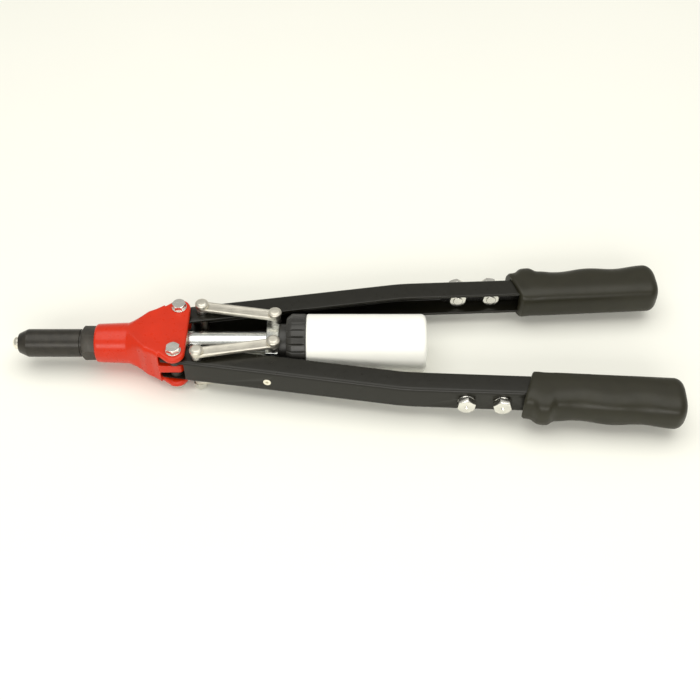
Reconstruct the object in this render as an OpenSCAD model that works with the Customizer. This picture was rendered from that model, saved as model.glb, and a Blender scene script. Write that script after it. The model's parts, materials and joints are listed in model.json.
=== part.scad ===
// Long-arm lever hand riveter, lying flat with its handles closed.
// The origin is the centre of the nosepiece's tip. +X runs back along the tool to the handles,
// +Y to the left handle, and +Z up, square to the plane in which the handles swing.
// Every pair of parts is drawn on the left and mirrored to the right.

/* [Nose] */
// Bore of the nosepiece, for the rivet's mandrel
mandrel_d = 4.1; // [2.5:0.1:5]
// Outside diameter of the barrel
barrel_d = 22.6; // [21.6:0.1:24]
// Where the lock nut's front face is
nut_front = 56.6; // [50:0.2:58]
// Thickness of the lock nut
nut_len = 11; // [8:0.2:12]
// Width of the lock nut across its flats
nut_af = 24; // [22:0.5:27]

/* [Body] */
// Diameter of the body's snout at its front
snout_front_d = 31; // [28:0.5:33]
// Diameter of the snout at its back, and height of the body
body_h = 34; // [32:0.5:36]
// Where the snout ends and the body widens
flare_x = 99; // [94:0.5:100]
// Where the body's side walls end
wall_end_x = 121; // [116:0.5:121]
// Rear edge of the body's top and bottom plates
plate_rear_x = 142.2; // [141:0.1:144]

/* [Handle arms] */
// Distance of the arm pivots from the nose
pivot_x = 133.4; // [132:0.1:135]
// Distance of each arm pivot from the tool's axis
pivot_y = 23.3; // [23:0.1:24]
// Height of the arm's channel section
arm_h = 22.5; // [20:0.1:22.5]
// Depth of the channel, from the web's outer face to the edges of its flanges
arm_w = 18; // [16:0.1:18.5]
// Wall of the channel
arm_wall = 2.5; // [2:0.1:3]
// Angle of the arm's front length to the tool's axis
arm_angle = 8.8; // [8:0.1:9.5]
// Angle of its rear length
grip_angle = 2.6; // [2:0.1:3]
// Length from the pivot to the bend
bend_at = 183.8; // [180:0.2:188]
// Length of the arm behind the bend
rear_len = 200; // [190:1:204]

/* [Linkage] */
// Where the link pins of the crosshead are
cross_x = 211.3; // [210:0.1:212]
// Distance of those pins from the tool's axis
cross_y = 14.9; // [14.5:0.1:15.2]
// Distance along the arm from its pivot to its link bolt
link_arm = 18.2; // [18:0.05:18.5]
// Width of a link
link_w = 9.4; // [8.8:0.1:10]
// Thickness of a link
link_t = 3; // [2.5:0.1:3.5]
// Diameter of the draw tube
tube_d = 18.8; // [18:0.1:18.8]

/* [Mandrel catcher] */
// Diameter of the bottle
bottle_d = 46.6; // [40:0.2:47]
// Back end of the bottle
bottle_end = 332.8; // [300:0.4:340]
// Diameter of the bottle's cap
cap_d = 47; // [46.8:0.1:48]

/* [Grips] */
// Back end of the grips
grip_end = 528; // [524:1:534]
// Half the height of a grip
grip_half_h = 14.6; // [14:0.1:16.5]

/* [Hidden] */
$fn = 64;

slip = 0.05;          // running clearance on a radius
fit = 0.02;           // clearance on the radius of a joint that doesn't move
gap = 0.2;            // clearance between faces that slide past each other
past = 1;             // how far a cutter runs past a face

// Bolts: M6 at the pivots and links, M8 at the grips
m6_r = 3;
m6_af = 10;
m6_head = 4;
m6_nut = 5;
m6_washer_r = 6;
m6_washer_t = 1;
m6_hole_r = 3.1;
m8_r = 4;
m8_af = 13;
m8_head = 5.3;
m8_nut = 6.5;
m8_hole_r = 4.2;
m8_flange_r = 6.8;
m8_flange_t = 1.2;
bolt_end = 0.45;      // how far a bolt stands out of its nut

// Nose
tip_r = 5;
tip_len = 5.1;
tip_dome_r = 6.2;
tip_flat = 0.7;       // width of the flat round the bore
nose_thread_r = 6;
nose_body_end = 17.5;
nib_r = 3.5;
nib_end = 23.6;
barrel_front = 5;
barrel_front_r = 7.75;
barrel_cone_end = 12.3;
shank_r = 10.4;
shank_end = 86;
chamber_r = 8.5;
chamber_front = 18;
undercut_w = 1.6;
undercut_depth = 1;
nut_turn = 13;
nut_chamfer = 1.6;

// Body
body_front = nut_front + nut_len;
plate_top = body_h / 2;
plate_in = arm_h / 2 + gap;
snout_chamfer = 1.5;
flare_mid_x = 109;    // where the flare's top face is already wide
flare_mid_y = 21.5;
flare_edge_r = 3.3;
rib_z = 4;
rib_y = 28.4;
rib_rear = 141.3;
rib_corner = 3.3;
hub_r = 14;
hub_end = 140.5;
corner_r = 9.2;
corner_x = plate_rear_x - corner_r;
corner_y = 23.7;
wall_y = 28;
bore_r = tube_d / 2 + 0.35;
bush_front = 124;
bush_r = 11.5;
bush_stands_out = 0.9;
spacer_r = 4.9;

// Arms, in a frame with the pivot at the origin and x along the front length
face_y = 6.25;        // web's outer face, from the pivot
web_x = 8.7;          // front end of the web
arm_corner_r = 3;
bush_arm_r = 4.2;     // steel bush that the arm turns on
link_local = [link_arm, -1.35];
link_hole_r = 4.45;   // oversize, so that the open pivot of the linkage has room
grip_bolt_x = [47.4, 75.2];
tongue_t = 4;
tongue_h = 15;
tongue_from = 34;
bumper_x = 75.2;
bumper_r = 5;
bumper_len = 17.8;
rivet_r = 2.5;
rivet_head_r = 3.1;
rivet_head = 0.6;
rivet_bore_r = 1.2;
rivet_depth = 8;      // how far the rivet reaches into the rubber
bend_x = pivot_x + bend_at * cos(arm_angle) - face_y * sin(arm_angle);

// Grips, in a frame with the bend at the origin and x along the rear length
grip_from = 90;
grip_to = (grip_end - bend_x) / cos(grip_angle);
grip_out_y = 11;      // outer side, at the front of the handhold
grip_in_y = -24.9;    // inner side
grip_taper_x = 121;
grip_taper_out = 0.037;
grip_taper_in = 0.012;
guard_x = 105.5;
guard_rise = 3.4;
guard_half = 8;
swell_x = 158;
swell_pitch = 48;
swell_rise = 0.9;
grip_slant = 9;       // how far the front end leans back at the inner side
grip_slant_len = 34;
grip_squareness = 2.7;
grip_end_out_r = 9;
grip_end_in_r = 8;

// Linkage
link_lift = 3.4;      // spacer between an arm and its link
link_bottom = arm_h / 2 + 0.15 + link_lift;
link_spacer_r = 4.7;
link_top = link_bottom + link_t;
pin_head_r = 5.4;
pin_head_h = 4.1;
pin_head_edge = 1;
pin_head_in = 1.4;
block_front = 204.4;
block_back = 214.8;
block_y = 19.6;
block_z = 9.8;
tube_step = 98;
tube_neck_r = 6;
tube_neck_front = 63;
tube_bore_r = 4.5;
tube_end = 222;

// Jaws
case_r = 8.2;
case_front = 28;
case_end = 70;
case_mouth_r = 4.1;
cone_front = 30;
cone_half_angle = 12;
case_bore_r = 7;
jaw_front = 31;
jaw_end = 43;
jaw_grip_r = 1.3;
jaw_sector = 110;
pusher_end = 52;
pusher_r = 6.5;
spring_r = 5.2;
spring_wire_r = 0.6;
spring_turns = 5;
jaw_clearance = 0.25;
pusher_flange = 4;

// Mandrel catcher
cap_boss_r = 15.5;
cap_front = 222.8;
cap_chamfer = 1.2;
cap_end = 236.4;
cap_cavity_r = 20.4;
cap_cavity_front = 224;
neck_r = 19.9;
neck_front = 226.2;
shoulder_x = 236.7;
shoulder_r = 4;
bottle_wall = 1.6;
bottle_floor = 2;
seal_w = 3.4;

link_front = [pivot_x, pivot_y] + turn2(link_local, arm_angle);
link_angle = atan2(link_front[1] - cross_y, link_front[0] - cross_x);
link_len = norm(link_front - [cross_x, cross_y]);

function turn2(p, a) = [p[0] * cos(a) - p[1] * sin(a), p[0] * sin(a) + p[1] * cos(a)];
function arc(c, r, a0, a1, n) = [for (i = [0:n]) let (a = a0 + (a1 - a0) * i / n)
    c + r * [cos(a), sin(a)]];

// ---- Shared shapes ----

module rod(x0, x1, r0, r1 = -1) {
    translate([x0, 0, 0]) rotate([0, 90, 0]) cylinder(h = x1 - x0, r1 = r0, r2 = r1 < 0 ? r0 : r1);
}

module post(p, z0, z1, r) {
    translate([p[0], p[1], z0]) cylinder(h = z1 - z0, r = r);
}

module washer_z(p, z0, z1, ro, ri) {
    difference() {
        post(p, z0, z1, ro);
        post(p, z0 - past, z1 + past, ri);
    }
}

module hex_z(p, z0, z1, af, turn = 0) {
    translate([p[0], p[1], z0]) rotate([0, 0, turn]) cylinder(h = z1 - z0, r = af / sqrt(3), $fn = 6);
}

module bored_hex_z(p, z0, z1, af, bore, turn = 0) {
    difference() {
        hex_z(p, z0, z1, af, turn);
        post(p, z0 - past, z1 + past, bore);
    }
}

module side(s) {
    mirror([0, s < 0 ? 1 : 0, 0]) children();
}

module both() {
    side(1) children();
    side(-1) children();
}

// ---- Nose ----

module nosepiece() {
    dome_x = sqrt(pow(tip_dome_r, 2) - pow(mandrel_d / 2 + tip_flat, 2));
    color("silver") difference() {
        union() {
            intersection() {
                rod(0, tip_len, tip_r);
                translate([dome_x, 0, 0]) sphere(r = tip_dome_r);
            }
            rod(tip_len, nose_body_end, nose_thread_r);
            rod(nose_body_end, nib_end, nib_r);
        }
        rod(-past, nib_end + past, mandrel_d / 2);
    }
}

module barrel() {
    color([0.13, 0.12, 0.11]) difference() {
        union() {
            rod(barrel_front, barrel_cone_end, barrel_front_r, barrel_d / 2);
            rod(barrel_cone_end, nut_front - undercut_w, barrel_d / 2);
            rod(nut_front - undercut_w, nut_front, barrel_d / 2 - undercut_depth);
            rod(nut_front, shank_end, shank_r);
        }
        rod(barrel_front - past, chamber_front, nose_thread_r + fit);
        rod(chamber_front, shank_end + past, chamber_r);
    }
}

module lock_nut() {
    corner = nut_af / sqrt(3);
    color([0.15, 0.14, 0.13]) difference() {
        intersection() {
            rotate([nut_turn, 0, 0]) rotate([0, 90, 0]) translate([0, 0, nut_front])
                cylinder(h = nut_len, r = corner, $fn = 6);
            union() {
                rod(nut_front, nut_front + nut_chamfer, nut_af / 2, corner + slip);
                rod(nut_front + nut_chamfer, body_front, corner + slip);
            }
        }
        rod(nut_front - past, body_front + past, shank_r + fit);
    }
}

// ---- Body ----

module plate_outline() {
    near_corner = arc([corner_x, corner_y], corner_r, 118, 0, 14);
    half = concat([[wall_end_x - 1, wall_y - 0.5]], near_corner);
    polygon(concat(half, [for (i = [len(half) - 1:-1:0]) [half[i][0], -half[i][1]]]));
}

module clevis_plate() {
    translate([0, 0, plate_in]) linear_extrude(plate_top - plate_in) plate_outline();
}

module flare() {
    slab = 1;
    edge = flare_edge_r;
    hull() {
        rod(flare_x - slab, flare_x, body_h / 2 - gap, $fn = 32);
        both() for (p = [[flare_mid_x, flare_mid_y], [wall_end_x - slab, wall_y]], z = [-1, 1])
            translate([p[0], p[1] - edge, z * (plate_top - edge)])
                rotate([0, 90, 0]) cylinder(h = slab, r = edge, $fn = 32);
    }
}

// Ribs between the arms' flanges, kept inside the circle that the webs' front ends sweep
module pivot_rib() {
    root_y = hub_r / 2;
    both() translate([0, 0, -rib_z]) linear_extrude(2 * rib_z)
        polygon([[wall_end_x - 1, root_y], [wall_end_x - 1, rib_y], [rib_rear - rib_corner, rib_y],
            [rib_rear, pivot_y + 1.2], [rib_rear, pivot_y - 4.3], [rib_rear - rib_corner, hub_r],
            [rib_rear - rib_corner, root_y]]);
}

module body_casting() {
    color([0.9, 0.2, 0.06]) difference() {
        union() {
            rod(body_front, body_front + snout_chamfer, snout_front_d / 2 - snout_chamfer,
                snout_front_d / 2);
            rod(body_front + snout_chamfer, flare_x, snout_front_d / 2, body_h / 2);
            flare();
            clevis_plate();
            mirror([0, 0, 1]) clevis_plate();
            pivot_rib();
            rod(wall_end_x - 1, hub_end, hub_r);
        }
        rod(body_front - past, shank_end + gap, shank_r + fit);
        rod(shank_end, bush_front, bore_r);
        rod(bush_front, hub_end + past, bush_r);
        both() post([pivot_x, pivot_y], -plate_top - past, plate_top + past, m6_hole_r);
        both() post([pivot_x, pivot_y], -plate_in, plate_in, bush_arm_r + fit);
    }
}

module guide_bush() {
    color("peru") difference() {
        rod(bush_front, hub_end + bush_stands_out, bush_r - fit);
        rod(bush_front - past, hub_end + 2 * past, tube_d / 2 + slip);
    }
}

module pivot_bolts() {
    p = [pivot_x, pivot_y];
    washer = plate_top + m6_washer_t;
    color("gainsboro") both() {
        post(p, -washer - m6_nut - bolt_end, washer, m6_r);
        hex_z(p, washer, washer + m6_head, m6_af, 24);
    }
}

module pivot_nuts() {
    washer = plate_top + m6_washer_t;
    color("silver") both()
        bored_hex_z([pivot_x, pivot_y], -washer - m6_nut, -washer, m6_af, m6_r + fit, 20);
}

module pivot_washers() {
    color("silver") both() for (z = [plate_top, -plate_top - m6_washer_t])
        washer_z([pivot_x, pivot_y], z, z + m6_washer_t, m6_washer_r, m6_hole_r);
}

module pivot_bushes() {
    color("gray") both()
        washer_z([pivot_x, pivot_y], -plate_in + slip, plate_in - slip, bush_arm_r, m6_r + 0.05);
}

module pivot_spacers() {
    flange_in = arm_h / 2 - arm_wall;
    color("silver") both() for (z = [rib_z, -flange_in + slip])
        washer_z([pivot_x, pivot_y], z, z + flange_in - rib_z - slip, spacer_r, bush_arm_r + fit);
}

// ---- Handle arms ----

module at_pivot(s) {
    side(s) translate([pivot_x, pivot_y, 0]) rotate([0, 0, arm_angle]) children();
}

module at_bend(s) {
    at_pivot(s) translate([bend_at, face_y, 0]) rotate([0, 0, grip_angle - arm_angle]) children();
}

// The channel's section, with its web on the +x side and its flanges towards -x
module channel_section() {
    r = arm_corner_r;
    ri = 1;
    difference() {
        union() {
            translate([-arm_w, -arm_h / 2]) square([arm_w - r, arm_h]);
            translate([-r, -arm_h / 2 + r]) square([r, arm_h - 2 * r]);
            for (z = [-1, 1]) translate([-r, z * (arm_h / 2 - r)]) circle(r);
        }
        translate([-arm_w - 1, -arm_h / 2 + arm_wall])
            square([arm_w + 1 - arm_wall - ri, arm_h - 2 * arm_wall]);
        translate([-arm_wall - ri - 1, -arm_h / 2 + arm_wall + ri])
            square([1 + ri, arm_h - 2 * arm_wall - 2 * ri]);
        for (z = [-1, 1]) translate([-arm_wall - ri, z * (arm_h / 2 - arm_wall - ri)]) circle(ri);
    }
}

module channel_run(x0, x1) {
    translate([x0, 0, 0]) rotate([90, 0, 90]) linear_extrude(x1 - x0) channel_section();
}

// Flange ends ahead of the web, rounded about the pivot
module flange_nose() {
    inner = face_y - arm_w;
    outline = concat([[web_x + past, face_y - arm_corner_r], [web_x + past, inner]],
        arc([0, 0], -inner, -90, -180 - asin(face_y / -inner), 24),
        [[web_x, face_y], [web_x, face_y - arm_corner_r]]);
    for (z = [arm_h / 2 - arm_wall, -arm_h / 2]) translate([0, 0, z])
        linear_extrude(arm_wall) polygon(outline);
}

module arm_channel(s) {
    half_bend = (arm_angle - grip_angle) / 2;
    big = 60;
    lap = 0.3;
    color([0.07, 0.07, 0.07]) difference() {
        union() {
            at_pivot(s) {
                flange_nose();
                intersection() {
                    translate([0, face_y, 0]) channel_run(web_x, bend_at + 5);
                    translate([bend_at, face_y, 0]) rotate([0, 0, -half_bend])
                        translate([lap - 4 * big, -big, -big]) cube([4 * big, 2 * big, 2 * big]);
                }
            }
            at_bend(s) intersection() {
                channel_run(-5, rear_len);
                rotate([0, 0, half_bend]) translate([0, -big, -big]) cube([4 * big, 2 * big, 2 * big]);
            }
        }
        at_pivot(s) {
            post([0, 0], -big, big, bush_arm_r + slip);
            post(link_local, -big, big, link_hole_r);
            translate([bumper_x, face_y + past, 0]) rotate([90, 0, 0])
                cylinder(h = arm_wall + 2 * past, r = rivet_r + 2 * slip);
        }
        at_bend(s) for (x = grip_bolt_x)
            translate([x, past, 0]) rotate([90, 0, 0]) cylinder(h = arm_wall + 2 * past, r = m8_hole_r);
    }
}

// Flat steel tongue inside the channel, which carries the grip and can be unbolted
module grip_tongue(s) {
    color([0.2, 0.2, 0.2]) at_bend(s) difference() {
        translate([tongue_from, -arm_wall - tongue_t, -tongue_h / 2])
            cube([rear_len - tongue_from, tongue_t, tongue_h]);
        for (x = grip_bolt_x)
            translate([x, 0, 0]) rotate([90, 0, 0])
                cylinder(h = arm_wall + tongue_t + past, r = m8_hole_r);
    }
}

module grip_bolts(s) {
    reach = arm_wall + tongue_t + m8_nut + 1;
    dimple_r = 1.4;
    dimple = 1;
    color("gainsboro") at_bend(s) for (x = grip_bolt_x) translate([x, 0, 0]) difference() {
        union() {
            rotate([90, 0, 0]) cylinder(h = reach, r = m8_r);
            rotate([-90, 0, 0]) cylinder(h = m8_flange_t, r = m8_flange_r);
            translate([0, m8_flange_t, 0]) rotate([-90, 30, 0])
                cylinder(h = m8_head, r = m8_af / sqrt(3), $fn = 6);
        }
        translate([0, m8_flange_t + m8_head - dimple, 0]) rotate([-90, 0, 0])
            cylinder(h = dimple + past, r = dimple_r);
    }
}

module grip_nuts(s) {
    color("silver") at_bend(s) for (x = grip_bolt_x)
        translate([x, -arm_wall - tongue_t, 0]) rotate([90, 0, 0]) difference() {
            rotate([0, 0, 30]) cylinder(h = m8_nut, r = m8_af / sqrt(3), $fn = 6);
            translate([0, 0, -past]) cylinder(h = m8_nut + 2 * past, r = m8_r + fit);
        }
}

// Rubber stop inside the channel, which meets the end of the crosshead when the handles close
module bumper(s) {
    color([0.1, 0.1, 0.1]) at_pivot(s) translate([bumper_x, face_y - arm_wall, 0])
        rotate([90, 0, 0]) difference() {
            cylinder(h = bumper_len, r = bumper_r);
            translate([0, 0, -past]) cylinder(h = rivet_depth + 2 * past, r = rivet_r + fit);
        }
}

module bumper_rivet(s) {
    length = rivet_head + arm_wall + rivet_depth;
    color("ivory") at_pivot(s) translate([bumper_x, face_y + rivet_head, 0]) rotate([90, 0, 0])
        difference() {
            union() {
                cylinder(h = rivet_head, r = rivet_head_r);
                cylinder(h = length, r = rivet_r);
            }
            translate([0, 0, -past]) cylinder(h = length + 2 * past, r = rivet_bore_r);
        }
}

// ---- Grips, in the frame of the arm's rear length ----

// How far the grip's outer side stands out from the web, with the finger swells and the guard
function grip_out(x) = grip_out_y + grip_taper_out * (x - grip_taper_x)
    + swell_rise * cos(360 * (x - swell_x) / swell_pitch)
    + guard_rise * exp(-pow((x - guard_x) / guard_half, 2));
function grip_in(x) = grip_in_y + grip_taper_in * (x - grip_taper_x);
function end_inset(x, r) = x < grip_to - r ? 0 : r - sqrt(max(0, r * r - pow(x - grip_to + r, 2)));
function squared(t) = sign(t) * pow(abs(t), 2 / grip_squareness);

function grip_ring(x, n) =
    let (low = grip_in(x) + end_inset(x, grip_end_in_r),
        high = grip_out(x) - end_inset(x, grip_end_out_r),
        half = (high - low) / 2,
        half_h = grip_half_h - 0.7 * end_inset(x, grip_end_in_r),
        slant = grip_slant * max(0, 1 - (x - grip_from) / grip_slant_len))
    [for (i = [0:n - 1]) let (y = squared(cos(360 * i / n)), z = squared(sin(360 * i / n)))
        [x + slant * (1 - y) / 2, (high + low) / 2 + half * y, half_h * z]];

module grip(s) {
    n = 28;
    body_end = grip_to - grip_end_out_r;
    stations = concat([for (i = [0:22]) grip_from + (body_end - grip_from) * i / 23],
        [for (a = [0:15:90]) body_end + (grip_end_out_r - 2 * slip) * sin(a)]);
    rings = [for (x = stations) grip_ring(x, n)];
    m = len(rings);
    points = [for (ring = rings) for (p = ring) p];
    sides = [for (k = [0:m - 2]) for (i = [0:n - 1]) let (j = (i + 1) % n)
        [k * n + i, k * n + j, (k + 1) * n + j, (k + 1) * n + i]];
    caps = [[for (i = [n - 1:-1:0]) i], [for (i = [0:n - 1]) (m - 1) * n + i]];
    pocket_from = grip_from - 10;
    color([0.12, 0.12, 0.11]) at_bend(s) difference() {
        polyhedron(points = points, faces = concat(sides, caps), convexity = 4);
        translate([pocket_from, -arm_w - slip, -arm_h / 2 - slip])
            cube([rear_len + past - pocket_from, arm_w + 2 * slip, arm_h + 2 * slip]);
    }
}

// ---- Links ----

module at_link(s) {
    side(s) translate([cross_x, cross_y, 0]) rotate([0, 0, link_angle]) children();
}

module link(s, z0) {
    color([0.8, 0.78, 0.72]) at_link(s) translate([0, 0, z0]) difference() {
        union() {
            cylinder(h = link_t, r = link_w / 2);
            translate([link_len, 0, 0]) cylinder(h = link_t, r = link_w / 2);
            translate([0, -link_w / 2, 0]) cube([link_len, link_w, link_t]);
        }
        translate([0, 0, -past]) cylinder(h = link_t + 2 * past, r = m6_r + slip);
        translate([link_len, 0, -past]) cylinder(h = link_t + 2 * past, r = m6_r + fit);
    }
}

module round_head() {
    cylinder(h = pin_head_h - pin_head_edge, r = pin_head_r);
    translate([0, 0, pin_head_h - pin_head_edge])
        cylinder(h = pin_head_edge, r1 = pin_head_r, r2 = pin_head_r - pin_head_in);
}

module link_bolt(s) {
    color([0.85, 0.82, 0.76]) at_link(s) translate([link_len, 0, 0]) {
        post([0, 0], -link_top - m6_nut - bolt_end, link_top, m6_r);
        translate([0, 0, link_top]) round_head();
    }
}

module link_nut(s) {
    color("silver") at_link(s)
        bored_hex_z([link_len, 0], -link_top - m6_nut, -link_top, m6_af, m6_r + fit, 10);
}

module link_spacers(s) {
    length = link_lift - slip;
    color("silver") at_link(s) for (z = [link_bottom - slip - length, -link_bottom + slip])
        washer_z([link_len, 0], z, z + length, link_spacer_r, m6_hole_r);
}

// ---- Crosshead and draw tube ----

module draw_tube() {
    color([0.8, 0.82, 0.84]) difference() {
        union() {
            rod(tube_neck_front, tube_step, tube_neck_r);
            rod(tube_step, tube_end, tube_d / 2);
        }
        rod(tube_neck_front - past, tube_end + past, tube_bore_r);
    }
}

module crosshead() {
    color([0.82, 0.84, 0.85]) difference() {
        translate([block_front, -block_y, -block_z])
            cube([block_back - block_front, 2 * block_y, 2 * block_z]);
        rod(block_front - past, block_back + past, tube_d / 2 + fit);
        both() post([cross_x, cross_y], -block_z - past, block_z + past, m6_r + fit);
    }
}

module crosshead_bolts() {
    lift = link_top + slip;
    color([0.85, 0.82, 0.76]) both() {
        post([cross_x, cross_y], -lift - m6_nut - bolt_end, lift, m6_r);
        translate([cross_x, cross_y, lift]) round_head();
    }
}

module crosshead_nuts() {
    lift = link_top + slip;
    color("silver") both()
        bored_hex_z([cross_x, cross_y], -lift - m6_nut, -lift, m6_af, m6_r + fit, 25);
}

module crosshead_spacers() {
    color("silver") both() for (z = [block_z, -link_bottom + slip])
        washer_z([cross_x, cross_y], z, z + link_bottom - block_z - slip, link_spacer_r, m6_hole_r);
}

// ---- Jaws ----

function cone_r(x) = case_mouth_r + (x - cone_front) * tan(cone_half_angle);

module jaw_case() {
    cone_end = cone_front + (case_bore_r - case_mouth_r) / tan(cone_half_angle);
    color([0.35, 0.35, 0.36]) difference() {
        union() {
            rod(case_front, case_front + 1, case_r - 1, case_r);
            rod(case_front + 1, case_end, case_r);
        }
        rod(case_front - past, cone_front, case_mouth_r);
        rod(cone_front, cone_end, case_mouth_r, case_bore_r);
        rod(cone_end, tube_neck_front, case_bore_r);
        rod(tube_neck_front - past, case_end + past, tube_neck_r + fit);
    }
}

module jaw(turn) {
    reach = 12;
    half = jaw_sector / 2;
    color([0.45, 0.45, 0.47]) rotate([turn, 0, 0]) intersection() {
        difference() {
            rod(jaw_front, jaw_end, cone_r(jaw_front) - jaw_clearance, cone_r(jaw_end) - jaw_clearance);
            rod(jaw_front - past, jaw_end + past, jaw_grip_r);
        }
        translate([jaw_front, 0, 0]) rotate([90, 0, 90]) linear_extrude(jaw_end - jaw_front)
            polygon([[0, 0], reach * [cos(half), -sin(half)], reach * [1.6, -0.6],
                reach * [1.6, 0.6], reach * [cos(half), sin(half)]]);
    }
}

module jaw_pusher() {
    color([0.5, 0.5, 0.52]) difference() {
        union() {
            rod(jaw_end + 2 * slip, jaw_end + pusher_flange, pusher_r);
            rod(jaw_end + pusher_flange, pusher_end, spring_r - spring_wire_r - 2 * gap);
        }
        rod(jaw_end - past, pusher_end + past, mandrel_d / 2 + gap);
    }
}

// Helical spring between the pusher's flange and the draw tube's front end
module jaw_spring() {
    sides = 8;
    per_turn = 24;
    x0 = jaw_end + pusher_flange + spring_wire_r + 2 * slip;
    length = tube_neck_front - 2 * slip - spring_wire_r - x0;
    m = spring_turns * per_turn;
    points = [for (k = [0:m]) for (i = [0:sides - 1])
        let (t = 360 * k / per_turn, w = 360 * i / sides, r = spring_r + spring_wire_r * cos(w))
        [x0 + length * k / m + spring_wire_r * sin(w), r * cos(t), r * sin(t)]];
    walls = [for (k = [0:m - 1]) for (i = [0:sides - 1]) let (j = (i + 1) % sides)
        [k * sides + i, (k + 1) * sides + i, (k + 1) * sides + j, k * sides + j]];
    ends = [[for (i = [0:sides - 1]) i], [for (i = [sides - 1:-1:0]) m * sides + i]];
    color("silver") polyhedron(points = points, faces = concat(walls, ends), convexity = 10);
}

// ---- Mandrel catcher ----

module catcher_cap() {
    color([0.09, 0.09, 0.09]) difference() {
        union() {
            rod(block_back, cap_front, cap_boss_r);
            rod(cap_front, cap_front + cap_chamfer, cap_d / 2 - cap_chamfer, cap_d / 2);
            rod(cap_front + cap_chamfer, cap_end, cap_d / 2);
        }
        rod(block_back - past, cap_cavity_front, tube_d / 2 + fit);
        rod(cap_cavity_front, cap_end + past, cap_cavity_r);
    }
}

module bottle_seal() {
    color([0.2, 0.2, 0.2]) difference() {
        rod(cap_cavity_front + 2 * slip, neck_front - 2 * slip, neck_r);
        rod(cap_cavity_front - past, neck_front + past, neck_r - seal_w);
    }
}

module bottle_profile(r, neck, x0, x1) {
    polygon(concat([[0, x0], [neck, x0], [neck, shoulder_x]],
        arc([r - shoulder_r, shoulder_x + shoulder_r], shoulder_r, -90, 0, 10),
        arc([r - shoulder_r, x1 - shoulder_r], shoulder_r, 0, 90, 10), [[0, x1]]));
}

module catcher_bottle() {
    r = bottle_d / 2;
    color([0.95, 0.95, 0.93, 0.9]) difference() {
        rotate([0, 90, 0]) rotate_extrude($fn = 96) bottle_profile(r, neck_r, neck_front, bottle_end);
        rod(neck_front - past, shoulder_x + shoulder_r, neck_r - bottle_wall);
        rod(shoulder_x + shoulder_r, bottle_end - bottle_floor, r - bottle_wall);
    }
}

body_casting();
nosepiece();
barrel();
lock_nut();
guide_bush();
pivot_bolts();
pivot_nuts();
pivot_washers();
pivot_bushes();
pivot_spacers();
arm_channel(1);  // left_arm_channel
grip(1);  // left_grip
grip_tongue(1);  // left_grip_tongue
grip_bolts(1);  // left_grip_bolts
grip_nuts(1);  // left_grip_nuts
bumper(1);  // left_bumper
bumper_rivet(1);  // left_bumper_rivet
arm_channel(-1);  // right_arm_channel
grip(-1);  // right_grip
grip_tongue(-1);  // right_grip_tongue
grip_bolts(-1);  // right_grip_bolts
grip_nuts(-1);  // right_grip_nuts
bumper(-1);  // right_bumper
bumper_rivet(-1);  // right_bumper_rivet
link(1, link_bottom);  // left_link_upper
link(1, -link_top);  // left_link_lower
link_bolt(1);  // left_link_bolt
link_nut(1);  // left_link_nut
link_spacers(1);  // left_link_spacers
link(-1, link_bottom);  // right_link_upper
link(-1, -link_top);  // right_link_lower
link_bolt(-1);  // right_link_bolt
link_nut(-1);  // right_link_nut
link_spacers(-1);  // right_link_spacers
draw_tube();
crosshead();
crosshead_bolts();
crosshead_nuts();
crosshead_spacers();
jaw_case();
jaw(90);  // jaw_1
jaw(210);  // jaw_2
jaw(330);  // jaw_3
jaw_pusher();
jaw_spring();
catcher_cap();
bottle_seal();
catcher_bottle();
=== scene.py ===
"""A long-arm hand riveter on a pale table. Shapes are worked out in millimetres in the CAD frame:
+X back along the tool, +Y to the left handle, +Z up. piece() scales them to metres."""
import json
import math
import bmesh
import bpy
from mathutils import Matrix, Vector


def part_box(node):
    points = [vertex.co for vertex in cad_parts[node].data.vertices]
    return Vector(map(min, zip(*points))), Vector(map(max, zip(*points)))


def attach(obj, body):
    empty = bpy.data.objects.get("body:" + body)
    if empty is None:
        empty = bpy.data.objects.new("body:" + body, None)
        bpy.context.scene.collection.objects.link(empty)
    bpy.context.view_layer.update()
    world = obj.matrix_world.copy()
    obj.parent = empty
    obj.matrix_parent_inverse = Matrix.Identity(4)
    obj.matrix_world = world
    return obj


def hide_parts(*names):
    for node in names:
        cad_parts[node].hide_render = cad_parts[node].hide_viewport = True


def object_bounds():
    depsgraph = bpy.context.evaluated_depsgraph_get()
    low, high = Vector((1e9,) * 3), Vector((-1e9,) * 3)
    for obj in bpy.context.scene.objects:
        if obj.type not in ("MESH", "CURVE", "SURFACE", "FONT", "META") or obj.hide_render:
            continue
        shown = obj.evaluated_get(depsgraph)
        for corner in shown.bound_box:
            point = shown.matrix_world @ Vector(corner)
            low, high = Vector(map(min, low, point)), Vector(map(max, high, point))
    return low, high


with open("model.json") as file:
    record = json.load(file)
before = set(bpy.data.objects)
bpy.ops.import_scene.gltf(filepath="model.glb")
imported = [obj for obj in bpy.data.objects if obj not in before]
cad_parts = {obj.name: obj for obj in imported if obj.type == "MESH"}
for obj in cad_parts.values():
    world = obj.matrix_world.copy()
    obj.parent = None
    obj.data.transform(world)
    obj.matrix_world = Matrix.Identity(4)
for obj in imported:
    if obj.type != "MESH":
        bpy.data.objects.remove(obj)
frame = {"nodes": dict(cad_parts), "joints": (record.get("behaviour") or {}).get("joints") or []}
CAD_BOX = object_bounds()

MM = 0.001
JOINT = {j["name"]: j for j in frame["joints"]}
SIDES = (("left", 1), ("right", -1))


def in_mm(metres):
    return [v / MM for v in metres]


def node_box(node):
    low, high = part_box(node)
    return in_mm(low), in_mm(high)


def x_range(node):
    low, high = node_box(node)
    return low[0], high[0]


PIVOT = in_mm(JOINT["left_handle"]["pos_m"])
CROSS_PIN = in_mm(JOINT["left_link_swing"]["pos_m"])
FLOOR_Z = CAD_BOX[0][2] / MM

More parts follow.
